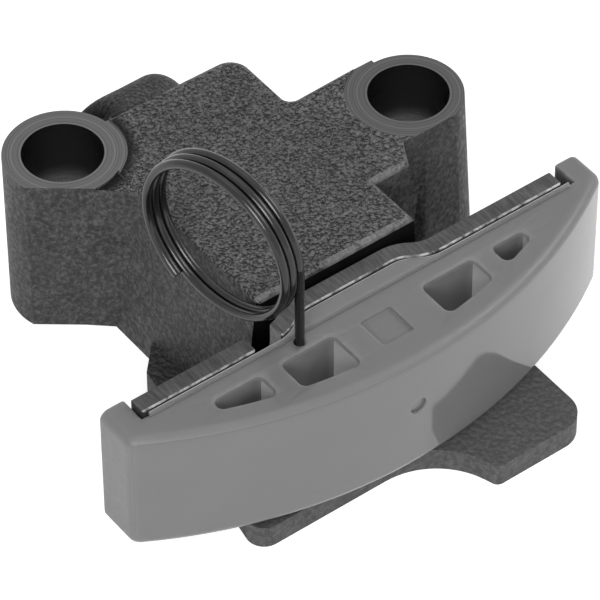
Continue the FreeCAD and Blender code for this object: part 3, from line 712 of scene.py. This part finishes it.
@dataclass
class Casting:
    """Iron body with its machined faces and bores, and the cast forms between its bosses."""

    left_axis: Pair = (-12.85 * MM, 29.26 * MM)
    right_axis: Pair = (20.86 * MM, 14.84 * MM)
    ring_height: float = 20.0 * MM
    ring_reach: float = 6.75 * MM
    ring_margin: float = 0.8 * MM
    ring_slack: float = 0.12 * MM
    bore_radius: float = 4.3 * MM
    barrel_radius: float = 7.0 * MM
    barrel_height: float = 10.5 * MM
    barrel_margin: float = 0.8 * MM
    foot_top: float = 2.9 * MM
    foot_reach: float = 3.2 * MM
    foot_start: float = -0.5 * MM
    roof_from: float = 12.0 * MM
    slack: float = 0.1 * MM
    hair: float = 0.05 * MM
    edge_break: float = 0.6 * MM
    fine_edge: float = 0.22
    shoulder_top: float = 20.24 * MM
    shoulder_rear: float = 35.78 * MM
    shoulder_front: float = 29.5 * MM
    shoulder_end: float = 4.5 * MM
    shoulder_corner: float = 3.6 * MM
    shoulder_crown: float = 4.4 * MM
    shoulder_root: float = 6.05 * MM
    shoulder_crease: float = 50.0
    shoulder_cells: tuple[int, int] = (72, 36)
    valley_reach: float = 7.3 * MM
    valley_width: float = 1.2 * MM
    valley_depth: float = 2.2 * MM
    valley_from: float = 30.4 * MM
    valley_run: float = 2.0 * MM
    blend_in: float = 30.3 * MM
    blend_slope: float = 0.4
    wobble: float = 0.14 * MM
    wobble_scale: float = 0.33 / MM
    web_top: float = 17.8 * MM
    web_rear: float = 35.71 * MM
    web_crown: float = 2.6 * MM
    web_end: float = 1.5 * MM
    web_cover: float = 0.06 * MM
    fill_plan: tuple[Pair, ...] = (
        (-14.53 * MM, 23.91 * MM), (-9.84 * MM, 19.71 * MM), (-9.4 * MM, 20.2 * MM),
        (-9.4 * MM, 25.6 * MM), (-12.6 * MM, 24.3 * MM))
    fill_top: float = 19.75 * MM
    fill_round: float = 1.5 * MM
    fill_segments: int = 6
    fill_crease: float = 40.0
    fill_margin: float = 0.2 * MM
    skin: Finish = CastSkin("cast_skin", Slot.CASTING)

    def build(self) -> bpy.types.Object:
        """Builds the casting and the cast forms that join it, and returns the casting."""
        self.shoulder()
        self.web_fill()
        return SolidSkin(
            "housing", Travel.BODY, self.skin, self.edge_break, zones=self.zones(),
            edge_test=self.edge_width, clamp=False, segments=3).build()

    def near(self, place: Vector, axis: Pair) -> float:
        """Distance in plan from a bolt axis."""
        return math.hypot(place.x - axis[0], place.y - axis[1])

    def from_bolts(self, place: Vector) -> float:
        """Distance in plan from the nearer bolt axis."""
        return min(self.near(place, self.left_axis), self.near(place, self.right_axis))

    def painted_light_top(self) -> CastSkin:
        """Finish of the rough upper faces: a copy of the cast skin with stronger painted light and shade,
        brighter painted glints and a painted shade band about the left ring, so that the tops stand out
        from the walls as under grazing light.
        """
        return CastSkin(
            "top_skin_painted_light", Slot.CASTING, dark=0.006, light=0.2, painted_glint_level=0.46, painted_glint_share=0.4, painted_relief=0.9,
            grain=3100.0, depth=0.3 * MM, metallic=0.1, gloss=0.15, painted_shade_centre=(*self.left_axis, 0.0),
            root=(6.7 * MM, 8.4 * MM))

    def edge_width(self, edge: Edge) -> float:
        """Share of the full edge break: 1 on the block's upper rim, and little on other edges."""
        middle = (edge.verts[0].co + edge.verts[1].co) / 2
        rim = (middle.z > self.ring_height + self.slack
               and self.from_bolts(middle) > self.ring_reach + self.ring_margin)
        return 1.0 if rim and edge.is_convex else self.fine_edge

    def zones(self) -> list[Zone]:
        """Machined and rough faces, in the order in which they are tried."""
        def ring(axis: Pair) -> FaceTest:
            return lambda centre, normal: (
                normal.z > STEEP and abs(centre.z - self.ring_height) < self.ring_slack
                and self.near(centre, axis) < self.ring_reach)

        def barrel(centre: Vector, normal: Vector) -> bool:
            reach = math.hypot(centre.x, centre.z - self.barrel_height)
            return reach < self.barrel_radius + self.barrel_margin and centre.y > 0.0

        def mouth(centre: Vector, normal: Vector) -> bool:
            return normal.y < -FLAT and abs(centre.y) < self.hair and centre.z > self.foot_top

        cast = Slot.CASTING
        return [
            Zone(TurnedFace("turned_left", cast, centre=(*self.left_axis, 0.0)), ring(self.left_axis)),
            # The right spot face is a darker copy of the left one: painted shade.
            Zone(TurnedFace("turned_right_painted_shade", cast, level=0.095, centre=(*self.right_axis, 0.0)),
                 ring(self.right_axis)),
            Zone(ReamedBore("reamed_bore", cast),
                 lambda centre, normal: self.from_bolts(centre) < self.bore_radius + self.hair),
            Zone(LinedSteel("honed_barrel", cast, level=0.2, roughness=0.22, stretch=(1.0, 6.0, 1.0),
                            lines=900.0, edge=0.3), barrel),
            # The block's front face in the narrow gap behind the shoe is painted nearly black: painted
            # shade.
            Zone(LinedSteel("mouth_painted_shade", cast, level=0.006, roughness=0.6, metallic=0.0,
                            stretch=(0.1, 1.0, 1.0), lines=3200.0, edge=0.05, gloss=0.05), mouth),
            Zone(LinedSteel("milled_foot", cast, level=0.14, roughness=0.36, stretch=(0.1, 1.0, 1.0),
                            lines=3200.0, edge=0.5),
                 lambda centre, normal: normal.z < -FLAT and centre.z < self.slack),
            # Upward faces take the copy with stronger painted light and shade.
            Zone(self.painted_light_top(), lambda centre, normal: normal.z > 0.6 and centre.z > self.roof_from),
            # The foot is painted lighter than the rest of the casting: painted light, where the lamps
            # fall on its front lobe.
            Zone(CastSkin("foot_skin_painted_light", cast, dark=0.07, light=0.15, painted_glint_level=0.2, painted_glint_share=0.2, depth=0.1 * MM),
                 lambda centre, normal: centre.z < self.foot_reach and centre.y < self.foot_start)]

    def shoulder_height(self, place: Vector) -> float:
        """Height of the cast shoulder: crowned at the rear and the end, with a valley at the boss."""
        inner_x = place.x - (self.shoulder_end - self.shoulder_corner)
        inner_y = place.y - (self.shoulder_rear - self.shoulder_corner)
        if inner_x > 0.0 and inner_y > 0.0:
            inside = self.shoulder_corner - math.hypot(inner_x, inner_y)
        else:
            inside = min(self.shoulder_end - place.x, self.shoulder_rear - place.y)
        lack = self.shoulder_crown - max(0.0, min(inside, self.shoulder_crown))
        crown = drop(self.shoulder_crown, lack)
        off = (self.near(place, self.left_axis) - self.valley_reach) / self.valley_width
        behind = min(1.0, max(0.0, (place.y - self.valley_from) / self.valley_run))
        valley = self.valley_depth * math.exp(-off * off) * behind * behind * (3.0 - 2.0 * behind)
        sunk = max(0.0, self.blend_in - place.y) * self.blend_slope
        wobble = noise.noise(place * self.wobble_scale) * self.wobble
        height = self.shoulder_top - crown - valley - sunk + wobble
        if place.x < self.web_end:
            lack = self.web_crown - max(0.0, min(self.web_rear - place.y, self.web_crown))
            height = max(height, self.web_top - drop(self.web_crown, lack) + self.web_cover)
        if self.near(place, self.left_axis) < self.ring_reach + self.slack:
            height = min(height, self.ring_height - self.ring_slack)
        return height

    def shoulder(self) -> bpy.types.Object:
        """Builds the rounded cast shoulder between the left boss and the rear of the block."""
        mesh = bmesh.new()
        across_cells, along_cells = self.shoulder_cells
        bmesh.ops.create_grid(mesh, x_segments=across_cells, y_segments=along_cells, size=0.5)
        for vertex in mesh.verts:
            across, along = vertex.co.x + 0.5, math.sin((vertex.co.y + 0.5) * math.pi / 2)
            y = self.shoulder_front + along * (self.shoulder_rear - self.shoulder_front)
            root = math.sqrt(max(0.0, self.shoulder_root ** 2 - (y - self.left_axis[1]) ** 2))
            past = max(0.0, y - (self.shoulder_rear - self.shoulder_corner))
            start = self.left_axis[0] + root
            stop = self.shoulder_end - drop(self.shoulder_corner, past)
            vertex.co = (start + across * (stop - start), y, 0.0)
        for vertex in mesh.verts:
            vertex.co.z = self.shoulder_height(vertex.co)
        lower, _ = extruded(mesh, mesh.faces)
        for corner in lower:
            corner.co.z = self.hair
        bmesh.ops.recalc_face_normals(mesh, faces=mesh.faces)
        for face in mesh.faces:
            face.material_index = 0 if face.normal.z > 0.5 else 1
        shade_smooth(mesh, self.shoulder_crease)
        # The shoulder's top carries painted light and shade in its grain and a painted shade band about
        # the left ring, where the ring's shadow falls.
        shaded = CastSkin(
            "shoulder_skin", Slot.CASTING, dark=0.012, light=0.13, painted_relief=0.8, grain=2900.0,
            painted_shade_centre=(*self.left_axis, 0.0), root=(6.9 * MM, 10.5 * MM))
        return put_out("cast_shoulder", mesh, [shaded, self.skin], Travel.BODY)

    def fill_front(self, x: float) -> float:
        """Line in plan that parts the front corners of the web fill from its hidden ones."""
        first, second = self.fill_plan[0], self.fill_plan[1]
        share = (x - first[0]) / (second[0] - first[0])
        return first[1] + share * (second[1] - first[1]) + self.fill_margin

    def web_fill(self) -> bpy.types.Object:
        """Builds the cast wall that runs from the left boss into the side of the block."""
        mesh = bmesh.new()
        floor = mesh.faces.new([mesh.verts.new((x, y, self.hair)) for x, y in self.fill_plan])
        extruded(mesh, [floor], self.fill_top - self.hair)
        bmesh.ops.recalc_face_normals(mesh, faces=mesh.faces)
        front = [edge for edge in mesh.edges if all(
            corner.co.z > self.fill_top / 2 and corner.co.y < self.fill_front(corner.co.x)
            for corner in edge.verts)]
        rounded(mesh, front, self.fill_round, self.fill_segments)
        for face in mesh.faces:
            face.material_index = 0 if face.normal.z > 0.8 else 1
        shade_smooth(mesh, self.fill_crease)
        return put_out("cast_web", mesh, [self.painted_light_top(), self.skin], Travel.BODY)


@dataclass
class Carriage:
    """Shoe, its steel plate and the plunger that carries them."""

    plate_edge: float = 0.18 * MM
    plunger_edge: float = 0.1 * MM
    shoe_edge: float = 0.3 * MM
    shoe_top: float = 18.5 * MM
    shoe_rear: float = -4.5 * MM
    end_reach: float = 28.0 * MM
    upright: float = 5.0 * MM
    face_centre: Pair = (-0.9 * MM, 41.25 * MM)
    pocket_reach: float = 54.0 * MM
    pocket_rear: float = -5.0 * MM
    pocket_floor: float = 3.6 * MM
    recess_reach: float = 4.6 * MM
    recess_depth: float = 0.35 * MM
    tail: Pair = (-8.75 * MM, -5.65 * MM)
    tail_reach: float = 1.0 * MM
    gate: Pair = (-0.8 * MM, 11.8 * MM)
    gate_reach: float = 1.4 * MM
    gate_depth: float = -8.0 * MM
    end_break: float = 5.0
    pocket_break: float = 1.7
    recess_break: float = 0.5
    tail_break: float = 0.4
    plate_break: float = 0.5
    bow_half: float = 6.5 * MM
    bow_run: float = 2.5 * MM
    bow_shift: float = -0.3 * MM
    bow_depth: float = 1.65 * MM
    bow_gap: float = 0.12 * MM
    bow_round: float = 1.2 * MM
    back_half: float = 26.4 * MM
    back_width: float = 0.5 * MM
    back_rise: float = 0.55 * MM
    back_bottom: float = 3.3 * MM
    back_sink: float = 0.02 * MM
    back_edge: float = 0.13 * MM
    back_crease: float = 30.0
    slack: float = 0.1 * MM
    nylon: Finish = Moulding("moulded_nylon", Slot.NYLON, level=0.2, roughness=0.4, milky=0.7)

    def build(self) -> list[bpy.types.Object]:
        """Builds the raised back, the plate, the shoe and the plunger."""
        ground = LinedSteel("ground_piston", Slot.GROUND, level=0.5, contrast=0.2, roughness=0.2,
                            stretch=(1.0, 9.0, 1.0), lines=900.0, depth=0.006 * MM, edge=0.8)
        plunger = SolidSkin("plunger", Travel.CARRIAGE, ground, self.plunger_edge)
        return [self.rail_back(), self.plate().build(), self.shoe().build(), plunger.build()]

    def plate(self) -> SolidSkin:
        """Describes the plate: rolled faces, sheared edges and a burr along its front top edge."""
        def edge_width(edge: Edge) -> float:
            front = any(face.normal.y < -STEEP for face in edge.link_faces)
            return 1.0 if front else self.plate_break

        strip = LinedSteel("rolled_strip", Slot.PLATE, level=0.1, roughness=0.34, metallic=0.8,
                           stretch=(0.06, 1.0, 1.0), lines=2600.0, edge=0.8)
        sheared = LinedSteel("sheared_edge", Slot.PLATE, level=0.075, roughness=0.45, metallic=0.6,
                             stretch=(1.0, 0.12, 1.0), lines=3400.0, depth=0.05 * MM, edge=0.5)
        return SolidSkin("shoe_plate", Travel.CARRIAGE, strip, self.plate_edge,
                         zones=[Zone(sheared, lambda centre, normal: abs(normal.z) > STEEP)],
                         edge_test=edge_width,
                         rub_test=lambda centre, normal: normal.y < -0.2 and normal.z > 0.2)

    def from_face_centre(self, place: Vector) -> float:
        """Distance in plan from the centre of the running face's curve."""
        return math.hypot(place.x - self.face_centre[0], place.y - self.face_centre[1])

    def shoe_width(self, edge: Edge) -> float:
        """Share of the full edge break: none at the gate, most at the ends' upright corners."""
        middle = (edge.verts[0].co + edge.verts[1].co) / 2
        gate = math.hypot(middle.x - self.gate[0], middle.z - self.gate[1])
        if gate < self.gate_reach and middle.y < self.gate_depth:
            return 0.0
        if math.hypot(middle.x - self.tail[0], middle.y - self.tail[1]) < self.tail_reach:
            return self.tail_break
        upright = abs(edge.verts[0].co.z - edge.verts[1].co.z) > self.upright
        if upright and abs(middle.x) > self.end_reach and middle.y < self.shoe_rear:
            return self.end_break
        inner = (self.from_face_centre(middle) < self.pocket_reach and middle.y < self.pocket_rear
                 and middle.z > self.shoe_top - self.slack)
        if not inner:
            return 1.0
        return self.recess_break if abs(middle.x) < self.recess_reach else self.pocket_break

    def shoe(self) -> SolidSkin:
        """Describes the shoe: moulded sides, a polished running face and milky pockets."""
        def pocket(centre: Vector, normal: Vector) -> bool:
            return (
                self.from_face_centre(centre) < self.pocket_reach and centre.y < self.pocket_rear
                and abs(centre.x) > self.recess_reach
                and self.pocket_floor < centre.z < self.shoe_top - self.recess_depth)

        running = Moulding("running_face", Slot.NYLON, level=0.19, roughness=0.09, milky=0.4,
                           scratches=0.4, grain=900.0, depth=0.002 * MM)
        zones = [Zone(running, lambda centre, normal: normal.y < -0.5 and abs(normal.z) < 0.5),
                 Zone(PocketNylon("pocket_nylon", Slot.NYLON), pocket)]
        return SolidSkin("shoe", Travel.CARRIAGE, self.nylon, self.shoe_edge, zones=zones, clamp=False,
                         edge_test=self.shoe_width)

    def rail_back(self) -> bpy.types.Object:
        """Builds the raised back of the shoe, which follows the bow of the plate."""
        inner, outer = self.bow_half, self.bow_half + self.bow_run
        bowed = self.shoe_rear + self.bow_depth
        left, right = -self.back_half - self.bow_shift, self.back_half - self.bow_shift
        front = self.shoe_rear - self.back_width
        plan = [(left, front), (right, front), (right, self.shoe_rear), (outer, self.shoe_rear),
                (inner, bowed), (-inner, bowed), (-outer, self.shoe_rear), (left, self.shoe_rear)]
        mesh = bmesh.new()
        floor = mesh.faces.new([
            mesh.verts.new((self.bow_shift + x, y - self.bow_gap * (y > front), self.back_bottom))
            for x, y in plan])
        top, _ = extruded(mesh, [floor], self.shoe_top - self.back_sink - self.back_bottom)
        for corner in top:
            if corner.co.y > front + self.slack / 2:
                corner.co.z += self.back_rise
        bmesh.ops.recalc_face_normals(mesh, faces=mesh.faces)
        bends = [edge for edge in mesh.edges if abs(edge.verts[0].co.z - edge.verts[1].co.z) > MM
                 and abs(edge.verts[0].co.x - self.bow_shift) < outer + self.slack]
        rounded(mesh, bends, self.bow_round, segments=5)
        rims = [edge for edge in mesh.edges
                if all(corner.co.z > self.shoe_top + self.slack for corner in edge.verts)
                and edge.calc_face_angle(0.0) > math.radians(20.0)]
        for face in rounded(mesh, rims, self.back_edge, segments=2, clamp=False):
            face.material_index = 1
        split_large(mesh)
        shade_smooth(mesh, self.back_crease)
        rough = Moulding("rough_rim", Slot.NYLON, level=0.42, roughness=0.35, milky=0.4, grain=2600.0,
                         depth=0.2 * MM)
        return put_out("shoe_back", mesh, [self.nylon, rough], Travel.CARRIAGE)


@dataclass
class LockPin:
    """Lock pin: spring wire with a straight tail and a coiled finger ring."""

    wire_radius: float = 0.5 * MM
    tail: Pair = (-8.75 * MM, -5.65 * MM)
    tail_bottom: float = 1.0 * MM
    coil_radius: float = 9.0 * MM
    coil_height: float = 28.2 * MM
    coil_pitch: float = 1.04 * MM
    coil_turns: float = 2.66
    heading: float = math.radians(-79.0)
    steps_per_turn: int = 72
    sides: int = 20
    nib: float = 0.12 * MM
    nib_segments: int = 3

    def build(self) -> bpy.types.Object:
        """Builds the pin."""
        mesh = bmesh.new()
        bmesh.ops.create_circle(mesh, cap_ends=True, radius=self.wire_radius, segments=self.sides)
        bmesh.ops.translate(mesh, verts=mesh.verts, vec=(*self.tail, self.tail_bottom))
        bmesh.ops.reverse_faces(mesh, faces=mesh.faces)
        _, cap = extruded(mesh, mesh.faces, self.coil_height - self.tail_bottom)
        out = Vector((math.cos(self.heading), math.sin(self.heading), 0.0))
        along = Vector((-out.y, out.x, 0.0))
        centre = Vector((*self.tail, self.coil_height)) - out * self.coil_radius
        steps = round(self.coil_turns * self.steps_per_turn)
        bmesh.ops.spin(
            mesh, geom=cap, cent=centre, axis=-along,
            dvec=-along * (self.coil_pitch * self.coil_turns / steps),
            angle=2.0 * math.pi * self.coil_turns, steps=steps, use_duplicate=False)
        bmesh.ops.remove_doubles(mesh, verts=mesh.verts, dist=MERGE / 2)
        ends = [edge for edge in mesh.edges
                if edge.is_manifold and edge.calc_face_angle(0.0) > math.radians(60.0)]
        rounded(mesh, ends, self.nib, self.nib_segments)
        bmesh.ops.recalc_face_normals(mesh, faces=mesh.faces)
        for face in mesh.faces:
            face.smooth = len(face.verts) < 6
        wire = LinedSteel("spring_wire", Slot.WIRE, level=0.01, roughness=0.15, metallic=0.1, gloss=0.5,
                          stretch=(1.0, 1.0, 1.0), lines=1600.0, depth=0.008 * MM, contrast=0.4, edge=0.3)
        return put_out("lock_pin_wire", mesh, [wire], Travel.PIN, ["lock_pin"])


@dataclass
class Inner:
    """Valve, springs and rings inside the barrel: the solids as they are, with their finishes."""

    finishes: dict[str, Finish] = field(default_factory=lambda: {
        **dict.fromkeys(("plunger_spring", "check_spring", "stop_ring"),
                        LinedSteel("inner_wire", Slot.WIRE, level=0.25, roughness=0.3)),
        "check_seat": LinedSteel("ground_seat", Slot.GROUND, level=0.45, roughness=0.22,
                                 stretch=(1.0, 6.0, 1.0)),
        "check_ball": LinedSteel("bright_ball", Slot.GROUND, level=0.6, roughness=0.08, contrast=0.05),
        "check_cage": LinedSteel("drawn_cage", Slot.PLATE, roughness=0.3, stretch=(1.0, 0.2, 1.0)),
        "vent_disc": Moulding("disc_plastic", Slot.DISC, level=0.05, roughness=0.45, milky=0.0)})

    def build(self) -> None:
        """Dresses the solids."""
        for node, finish in self.finishes.items():
            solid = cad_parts[node]
            solid.data.materials.clear()
            solid.data.materials.append(material_of(finish))
            LOG.info("%s keeps its solid, finish %s", node, finish.name)


@dataclass
class Studio:
    """Pale floor, soft lamps and the camera, with its angles in radians."""

    camera_place: Triple = (-197.49 * MM, -257.53 * MM, 348.51 * MM)
    yaw: float = 0.643203
    pitch: float = 0.800052
    roll: float = -0.0050736
    focal_pixels: float = 4612.2
    frame_pixels: float = 600.0
    sensor: float = 36.0
    clip_start: float = 10.0 * MM
    floor_size: float = 3.0
    floor_level: float = 0.8
    floor_roughness: float = 0.9
    floor_glow: float = 0.7
    ambient: float = 0.3
    key_heading: Pair = (0.755, 0.656)
    key_rise: float = math.radians(30.0)
    key_power: float = 2.7
    key_size: float = 0.3
    key_distance: float = 0.7
    top_place: Triple = (0.1, 0.15, 0.8)
    top_power: float = 0.7
    top_size: float = 0.6
    side_place: Triple = (0.62, -0.3, 0.55)
    side_power: float = 2.3
    side_size: float = 0.4
    aim_height: float = 10.0 * MM

    def build(self) -> None:
        """Builds the stage."""
        self.camera()
        self.world()
        self.floor()
        left, front = scaled(math.cos(self.key_rise), self.key_heading)
        toward = Vector((-left, -front, math.sin(self.key_rise)))
        self.lamp("key", toward.normalized() * self.key_distance, self.key_power, self.key_size)
        self.lamp("top", Vector(self.top_place), self.top_power, self.top_size)
        self.lamp("side", Vector(self.side_place), self.side_power, self.side_size)
        bpy.context.scene.view_settings.view_transform = "Standard"

    def camera(self) -> None:
        """Sets the camera at the viewing angle of the object's picture."""
        turn = (Matrix.Rotation(-self.yaw, 3, "Z") @ Matrix.Rotation(math.pi / 2 - self.pitch, 3, "X")
                @ Matrix.Rotation(self.roll, 3, "Z"))
        data = bpy.data.cameras.new("camera")
        data.sensor_width = self.sensor
        data.lens = self.focal_pixels / self.frame_pixels * self.sensor
        data.clip_start = self.clip_start
        camera = bpy.data.objects.new("camera", data)
        camera.matrix_world = Matrix.Translation(self.camera_place) @ turn.to_4x4()
        bpy.context.scene.collection.objects.link(camera)
        bpy.context.scene.camera = camera

    def world(self) -> None:
        """Soft surroundings that look white to the camera and in reflections."""
        world = bpy.data.worlds.new("studio")
        bpy.context.scene.world = world
        world.use_nodes = True
        graph = Graph(world.node_tree)
        path = graph.add("LightPath").outputs
        seen = graph.math("MAXIMUM", path["Is Camera Ray"], path["Is Transmission Ray"])
        seen = graph.math("MAXIMUM", seen, path["Is Glossy Ray"])
        feed(graph.tree, graph.tree.nodes["Background"], {
            "Color": grey(1.0), "Strength": graph.remap(seen, target=(self.ambient, 1.0))})

    def floor(self) -> None:
        """Pale floor under the object."""
        mesh = bmesh.new()
        bmesh.ops.create_grid(mesh, x_segments=1, y_segments=1, size=self.floor_size / 2)
        data = bpy.data.meshes.new("floor")
        mesh.to_mesh(data)
        mesh.free()
        floor = bpy.data.objects.new("floor", data)
        bpy.context.scene.collection.objects.link(floor)
        material = bpy.data.materials.new("floor")
        material.use_nodes = True
        graph = Graph(material.node_tree)
        shader = graph.tree.nodes["Principled BSDF"]
        feed(graph.tree, shader, {
            "Base Color": grey(self.floor_level), "Roughness": self.floor_roughness,
            "Specular IOR Level": 0.0})
        path = graph.add("LightPath").outputs
        seen = graph.math("MAXIMUM", path["Is Camera Ray"], path["Is Glossy Ray"])
        glow = graph.math("MULTIPLY", seen, self.floor_glow)
        white = graph.add("Emission", {"Color": grey(1.0), "Strength": glow})
        both = graph.add("AddShader", {0: shader.outputs[0], 1: white.outputs[0]})
        feed(graph.tree, graph.tree.nodes["Material Output"], {"Surface": both.outputs[0]})
        data.materials.append(material)

    def lamp(self, name: str, place: Vector, power: float, size: float) -> None:
        """Adds a soft square lamp that faces the object.

        Args:
            name: Name of the lamp.
            place: Its place.
            power: Watts.
            size: Side in metres.
        """
        data = bpy.data.lights.new(name, "AREA")
        data.energy = power
        data.size = size
        lamp = bpy.data.objects.new(name, data)
        aim = (Vector((0.0, 0.0, self.aim_height)) - place).to_track_quat("-Z", "Y")
        lamp.matrix_world = Matrix.Translation(place) @ aim.to_matrix().to_4x4()
        bpy.context.scene.collection.objects.link(lamp)


def main() -> None:
    """Builds the pieces in order."""
    logging.basicConfig(level=logging.INFO, format="%(name)s: %(message)s")
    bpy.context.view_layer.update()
    Studio().build()
    Casting().build()
    Carriage().build()
    LockPin().build()
    Inner().build()


if __name__ == "__main__":
    main()
